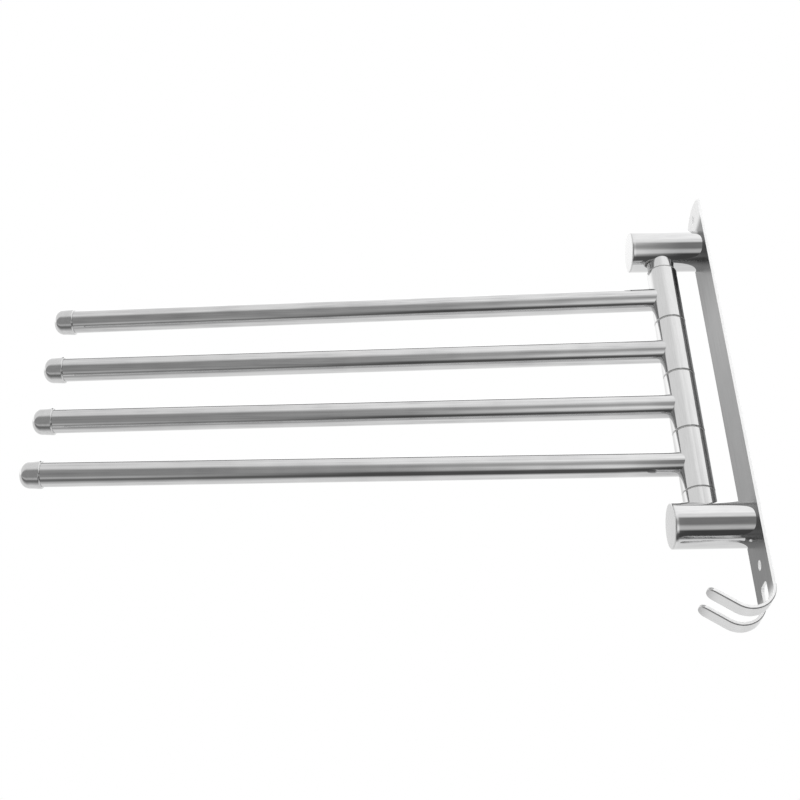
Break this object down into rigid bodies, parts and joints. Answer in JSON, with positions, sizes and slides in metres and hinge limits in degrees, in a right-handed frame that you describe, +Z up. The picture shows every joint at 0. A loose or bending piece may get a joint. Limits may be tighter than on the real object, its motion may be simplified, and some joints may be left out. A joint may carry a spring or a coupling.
{
  "type": "swing arm towel bar",
  "caption": "Wall-mounted towel holder: round arms swing sideways on an upright pivot between two posts, above a flat plate bent into a forked hook.",
  "frame": {"origin": "on the back face of the wall plate, half way between the two wall screw holes", "axes": "+Z up the wall, +Y into the wall (the arms stand out along -Y), +X to the right along the wall seen from the room"},
  "size_m": [0.0385, 0.4152, 0.2913],
  "materials": {
    "plate_steel": "polished sheet stainless steel with fine brush lines",
    "tube_steel": "polished stainless steel tube",
    "cap_steel": "polished pressed stainless steel",
    "screw_steel": "plain stainless steel",
    "machined_steel": "turned steel",
    "nylon": "moulded natural nylon"
  },
  "bodies": {
    "bracket": {"back_plate": "plate_steel", "lower_collar": "tube_steel", "lower_post_core": "machined_steel", "lower_post_end_disc": "tube_steel", "lower_post_screw": "screw_steel", "lower_post_tube": "tube_steel", "pivot_rod": "machined_steel", "seam_washer_1": "nylon", "seam_washer_2": "nylon", "seam_washer_3": "nylon", "seam_washer_4": "nylon", "seam_washer_5": "nylon", "upper_collar": "tube_steel", "upper_post_core": "machined_steel", "upper_post_end_disc": "tube_steel", "upper_post_screw": "screw_steel", "upper_post_tube": "tube_steel"},
    "swing_arm_1": {"arm_1_bush_lower": "nylon", "arm_1_bush_upper": "nylon", "arm_1_end_cap": "cap_steel", "arm_1_sleeve": "tube_steel", "arm_1_tube": "tube_steel"},
    "swing_arm_2": {"arm_2_bush_lower": "nylon", "arm_2_bush_upper": "nylon", "arm_2_end_cap": "cap_steel", "arm_2_sleeve": "tube_steel", "arm_2_tube": "tube_steel"},
    "swing_arm_3": {"arm_3_bush_lower": "nylon", "arm_3_bush_upper": "nylon", "arm_3_end_cap": "cap_steel", "arm_3_sleeve": "tube_steel", "arm_3_tube": "tube_steel"},
    "swing_arm_4": {"arm_4_bush_lower": "nylon", "arm_4_bush_upper": "nylon", "arm_4_end_cap": "cap_steel", "arm_4_sleeve": "tube_steel", "arm_4_tube": "tube_steel"}
  },
  "joints": [
    {"name": "arm_1_swing", "type": "hinge", "parent": "bracket", "child": "swing_arm_1", "pos_m": [0, -0.0286, 0.05995], "axis": [0, 0, 1], "range_deg": [-87.9, 92.1]},
    {"name": "arm_2_swing", "type": "hinge", "parent": "bracket", "child": "swing_arm_2", "pos_m": [0, -0.0286, 0.01995], "axis": [0, 0, 1], "range_deg": [-88.5, 91.5]},
    {"name": "arm_3_swing", "type": "hinge", "parent": "bracket", "child": "swing_arm_3", "pos_m": [0, -0.0286, -0.02005], "axis": [0, 0, 1], "range_deg": [-89.1, 90.9]},
    {"name": "arm_4_swing", "type": "hinge", "parent": "bracket", "child": "swing_arm_4", "pos_m": [0, -0.0286, -0.06005], "axis": [0, 0, 1], "range_deg": [-90, 90]}
  ]
}
